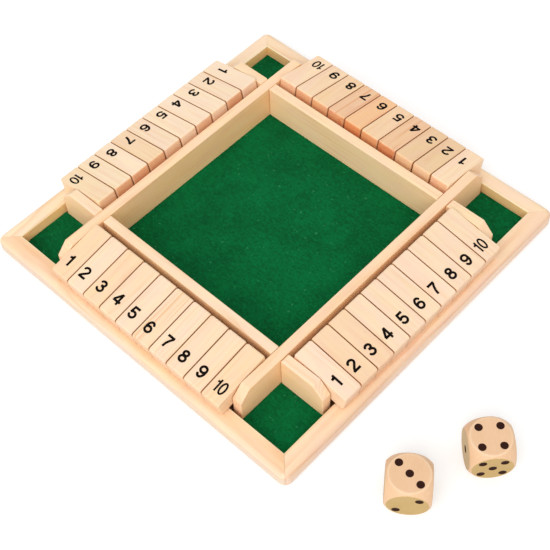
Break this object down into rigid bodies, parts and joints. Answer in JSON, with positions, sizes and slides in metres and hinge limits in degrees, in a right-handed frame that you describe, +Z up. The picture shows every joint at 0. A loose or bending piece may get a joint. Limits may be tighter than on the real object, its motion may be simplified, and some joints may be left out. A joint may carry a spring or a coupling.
{
  "type": "shut the box game",
  "caption": "Square wooden tray game with a felt-lined dice well, rows of numbered flip tiles on rods along its sides, clipped dividers, a rounded rail and loose rounded dice.",
  "frame": {"origin": "centre of the board's flat underside", "axes": "+Z up; +X from the tray's centre towards the east side, past which the dice stand; +Y towards the north side"},
  "size_m": [0.4042, 0.3, 0.0378],
  "materials": {
    "frame_wood": "smooth clear lacquer",
    "tile_wood": "smooth clear lacquer, printed black numbers",
    "plywood": "sanded",
    "green_felt": "short napped felt",
    "rod_steel": "drawn wire",
    "die_wood": "polished, dark painted pips"
  },
  "bodies": {
    "board": {"rail_south": "frame_wood", "rail_east": "frame_wood", "rail_north": "frame_wood", "rail_west": "frame_wood", "wall_south": "frame_wood", "wall_east": "frame_wood", "wall_north": "frame_wood", "wall_west": "frame_wood", "divider_northeast": "frame_wood", "divider_southeast": "frame_wood", "divider_northwest": "frame_wood", "divider_southwest": "frame_wood", "rod_south": "rod_steel", "rod_east": "rod_steel", "rod_north": "rod_steel", "rod_west": "rod_steel", "base_panel": "plywood", "felt": "green_felt"},
    "tile_south_1": {"tile_south_1": "tile_wood"},
    "tile_south_2": {"tile_south_2": "tile_wood"},
    "tile_south_3": {"tile_south_3": "tile_wood"},
    "tile_south_4": {"tile_south_4": "tile_wood"},
    "tile_south_5": {"tile_south_5": "tile_wood"},
    "tile_south_6": {"tile_south_6": "tile_wood"},
    "tile_south_7": {"tile_south_7": "tile_wood"},
    "tile_south_8": {"tile_south_8": "tile_wood"},
    "tile_south_9": {"tile_south_9": "tile_wood"},
    "tile_south_10": {"tile_south_10": "tile_wood"},
    "tile_east_1": {"tile_east_1": "tile_wood"},
    "tile_east_2": {"tile_east_2": "tile_wood"},
    "tile_east_3": {"tile_east_3": "tile_wood"},
    "tile_east_4": {"tile_east_4": "tile_wood"},
    "tile_east_5": {"tile_east_5": "tile_wood"},
    "tile_east_6": {"tile_east_6": "tile_wood"},
    "tile_east_7": {"tile_east_7": "tile_wood"},
    "tile_east_8": {"tile_east_8": "tile_wood"},
    "tile_east_9": {"tile_east_9": "tile_wood"},
    "tile_east_10": {"tile_east_10": "tile_wood"},
    "tile_north_1": {"tile_north_1": "tile_wood"},
    "tile_north_2": {"tile_north_2": "tile_wood"},
    "tile_north_3": {"tile_north_3": "tile_wood"},
    "tile_north_4": {"tile_north_4": "tile_wood"},
    "tile_north_5": {"tile_north_5": "tile_wood"},
    "tile_north_6": {"tile_north_6": "tile_wood"},
    "tile_north_7": {"tile_north_7": "tile_wood"},
    "tile_north_8": {"tile_north_8": "tile_wood"},
    "tile_north_9": {"tile_north_9": "tile_wood"},
    "tile_north_10": {"tile_north_10": "tile_wood"},
    "tile_west_1": {"tile_west_1": "tile_wood"},
    "tile_west_2": {"tile_west_2": "tile_wood"},
    "tile_west_3": {"tile_west_3": "tile_wood"},
    "tile_west_4": {"tile_west_4": "tile_wood"},
    "tile_west_5": {"tile_west_5": "tile_wood"},
    "tile_west_6": {"tile_west_6": "tile_wood"},
    "tile_west_7": {"tile_west_7": "tile_wood"},
    "tile_west_8": {"tile_west_8": "tile_wood"},
    "tile_west_9": {"tile_west_9": "tile_wood"},
    "tile_west_10": {"tile_west_10": "tile_wood"},
    "die_south": {"die_south": "die_wood"},
    "die_east": {"die_east": "die_wood"}
  },
  "joints": [
    {"name": "tile_south_1_flip", "type": "hinge", "parent": "board", "child": "tile_south_1", "pos_m": [-0.07722, -0.10345, 0.0297], "axis": [-1, 0, 0], "range_deg": [0, 114.5]},
    {"name": "tile_south_2_flip", "type": "hinge", "parent": "board", "child": "tile_south_2", "pos_m": [-0.06006, -0.10345, 0.0297], "axis": [-1, 0, 0], "range_deg": [0, 114.5]},
    {"name": "tile_south_3_flip", "type": "hinge", "parent": "board", "child": "tile_south_3", "pos_m": [-0.0429, -0.10345, 0.0297], "axis": [-1, 0, 0], "range_deg": [0, 114.5]},
    {"name": "tile_south_4_flip", "type": "hinge", "parent": "board", "child": "tile_south_4", "pos_m": [-0.02574, -0.10345, 0.0297], "axis": [-1, 0, 0], "range_deg": [0, 114.5]},
    {"name": "tile_south_5_flip", "type": "hinge", "parent": "board", "child": "tile_south_5", "pos_m": [-0.00858, -0.10345, 0.0297], "axis": [-1, 0, 0], "range_deg": [0, 114.5]},
    {"name": "tile_south_6_flip", "type": "hinge", "parent": "board", "child": "tile_south_6", "pos_m": [0.00858, -0.10345, 0.0297], "axis": [-1, 0, 0], "range_deg": [0, 114.5]},
    {"name": "tile_south_7_flip", "type": "hinge", "parent": "board", "child": "tile_south_7", "pos_m": [0.02574, -0.10345, 0.0297], "axis": [-1, 0, 0], "range_deg": [0, 114.5]},
    {"name": "tile_south_8_flip", "type": "hinge", "parent": "board", "child": "tile_south_8", "pos_m": [0.0429, -0.10345, 0.0297], "axis": [-1, 0, 0], "range_deg": [0, 114.5]},
    {"name": "tile_south_9_flip", "type": "hinge", "parent": "board", "child": "tile_south_9", "pos_m": [0.06006, -0.10345, 0.0297], "axis": [-1, 0, 0], "range_deg": [0, 114.5]},
    {"name": "tile_south_10_flip", "type": "hinge", "parent": "board", "child": "tile_south_10", "pos_m": [0.07722, -0.10345, 0.0297], "axis": [-1, 0, 0], "range_deg": [0, 114.5]},
    {"name": "tile_east_1_flip", "type": "hinge", "parent": "board", "child": "tile_east_1", "pos_m": [0.10345, -0.07722, 0.0297], "axis": [0, -1, 0], "range_deg": [0, 114.5]},
    {"name": "tile_east_2_flip", "type": "hinge", "parent": "board", "child": "tile_east_2", "pos_m": [0.10345, -0.06006, 0.0297], "axis": [0, -1, 0], "range_deg": [0, 114.5]},
    {"name": "tile_east_3_flip", "type": "hinge", "parent": "board", "child": "tile_east_3", "pos_m": [0.10345, -0.0429, 0.0297], "axis": [0, -1, 0], "range_deg": [0, 114.5]},
    {"name": "tile_east_4_flip", "type": "hinge", "parent": "board", "child": "tile_east_4", "pos_m": [0.10345, -0.02574, 0.0297], "axis": [0, -1, 0], "range_deg": [0, 114.5]},
    {"name": "tile_east_5_flip", "type": "hinge", "parent": "board", "child": "tile_east_5", "pos_m": [0.10345, -0.00858, 0.0297], "axis": [0, -1, 0], "range_deg": [0, 114.5]},
    {"name": "tile_east_6_flip", "type": "hinge", "parent": "board", "child": "tile_east_6", "pos_m": [0.10345, 0.00858, 0.0297], "axis": [0, -1, 0], "range_deg": [0, 114.5]},
    {"name": "tile_east_7_flip", "type": "hinge", "parent": "board", "child": "tile_east_7", "pos_m": [0.10345, 0.02574, 0.0297], "axis": [0, -1, 0], "range_deg": [0, 114.5]},
    {"name": "tile_east_8_flip", "type": "hinge", "parent": "board", "child": "tile_east_8", "pos_m": [0.10345, 0.0429, 0.0297], "axis": [0, -1, 0], "range_deg": [0, 114.5]},
    {"name": "tile_east_9_flip", "type": "hinge", "parent": "board", "child": "tile_east_9", "pos_m": [0.10345, 0.06006, 0.0297], "axis": [0, -1, 0], "range_deg": [0, 114.5]},
    {"name": "tile_east_10_flip", "type": "hinge", "parent": "board", "child": "tile_east_10", "pos_m": [0.10345, 0.07722, 0.0297], "axis": [0, -1, 0], "range_deg": [0, 114.5]},
    {"name": "tile_north_1_flip", "type": "hinge", "parent": "board", "child": "tile_north_1", "pos_m": [0.07722, 0.10345, 0.0297], "axis": [1, 0, 0], "range_deg": [0, 114.5]},
    {"name": "tile_north_2_flip", "type": "hinge", "parent": "board", "child": "tile_north_2", "pos_m": [0.06006, 0.10345, 0.0297], "axis": [1, 0, 0], "range_deg": [0, 114.5]},
    {"name": "tile_north_3_flip", "type": "hinge", "parent": "board", "child": "tile_north_3", "pos_m": [0.0429, 0.10345, 0.0297], "axis": [1, 0, 0], "range_deg": [0, 114.5]},
    {"name": "tile_north_4_flip", "type": "hinge", "parent": "board", "child": "tile_north_4", "pos_m": [0.02574, 0.10345, 0.0297], "axis": [1, 0, 0], "range_deg": [0, 114.5]},
    {"name": "tile_north_5_flip", "type": "hinge", "parent": "board", "child": "tile_north_5", "pos_m": [0.00858, 0.10345, 0.0297], "axis": [1, 0, 0], "range_deg": [0, 114.5]},
    {"name": "tile_north_6_flip", "type": "hinge", "parent": "board", "child": "tile_north_6", "pos_m": [-0.00858, 0.10345, 0.0297], "axis": [1, 0, 0], "range_deg": [0, 114.5]},
    {"name": "tile_north_7_flip", "type": "hinge", "parent": "board", "child": "tile_north_7", "pos_m": [-0.02574, 0.10345, 0.0297], "axis": [1, 0, 0], "range_deg": [0, 114.5]},
    {"name": "tile_north_8_flip", "type": "hinge", "parent": "board", "child": "tile_north_8", "pos_m": [-0.0429, 0.10345, 0.0297], "axis": [1, 0, 0], "range_deg": [0, 114.5]},
    {"name": "tile_north_9_flip", "type": "hinge", "parent": "board", "child": "tile_north_9", "pos_m": [-0.06006, 0.10345, 0.0297], "axis": [1, 0, 0], "range_deg": [0, 114.5]},
    {"name": "tile_north_10_flip", "type": "hinge", "parent": "board", "child": "tile_north_10", "pos_m": [-0.07722, 0.10345, 0.0297], "axis": [1, 0, 0], "range_deg": [0, 114.5]},
    {"name": "tile_west_1_flip", "type": "hinge", "parent": "board", "child": "tile_west_1", "pos_m": [-0.10345, 0.07722, 0.0297], "axis": [0, 1, 0], "range_deg": [0, 114.5]},
    {"name": "tile_west_2_flip", "type": "hinge", "parent": "board", "child": "tile_west_2", "pos_m": [-0.10345, 0.06006, 0.0297], "axis": [0, 1, 0], "range_deg": [0, 114.5]},
    {"name": "tile_west_3_flip", "type": "hinge", "parent": "board", "child": "tile_west_3", "pos_m": [-0.10345, 0.0429, 0.0297], "axis": [0, 1, 0], "range_deg": [0, 114.5]},
    {"name": "tile_west_4_flip", "type": "hinge", "parent": "board", "child": "tile_west_4", "pos_m": [-0.10345, 0.02574, 0.0297], "axis": [0, 1, 0], "range_deg": [0, 114.5]},
    {"name": "tile_west_5_flip", "type": "hinge", "parent": "board", "child": "tile_west_5", "pos_m": [-0.10345, 0.00858, 0.0297], "axis": [0, 1, 0], "range_deg": [0, 114.5]},
    {"name": "tile_west_6_flip", "type": "hinge", "parent": "board", "child": "tile_west_6", "pos_m": [-0.10345, -0.00858, 0.0297], "axis": [0, 1, 0], "range_deg": [0, 114.5]},
    {"name": "tile_west_7_flip", "type": "hinge", "parent": "board", "child": "tile_west_7", "pos_m": [-0.10345, -0.02574, 0.0297], "axis": [0, 1, 0], "range_deg": [0, 114.5]},
    {"name": "tile_west_8_flip", "type": "hinge", "parent": "board", "child": "tile_west_8", "pos_m": [-0.10345, -0.0429, 0.0297], "axis": [0, 1, 0], "range_deg": [0, 114.5]},
    {"name": "tile_west_9_flip", "type": "hinge", "parent": "board", "child": "tile_west_9", "pos_m": [-0.10345, -0.06006, 0.0297], "axis": [0, 1, 0], "range_deg": [0, 114.5]},
    {"name": "tile_west_10_flip", "type": "hinge", "parent": "board", "child": "tile_west_10", "pos_m": [-0.10345, -0.07722, 0.0297], "axis": [0, 1, 0], "range_deg": [0, 114.5]},
    {"name": "die_south_lift", "type": "slide", "parent": "board", "child": "die_south", "axis": [0, 0, 1], "range_m": [0, 0.04]},
    {"name": "die_east_lift", "type": "slide", "parent": "board", "child": "die_east", "axis": [0, 0, 1], "range_m": [0, 0.04]}
  ]
}
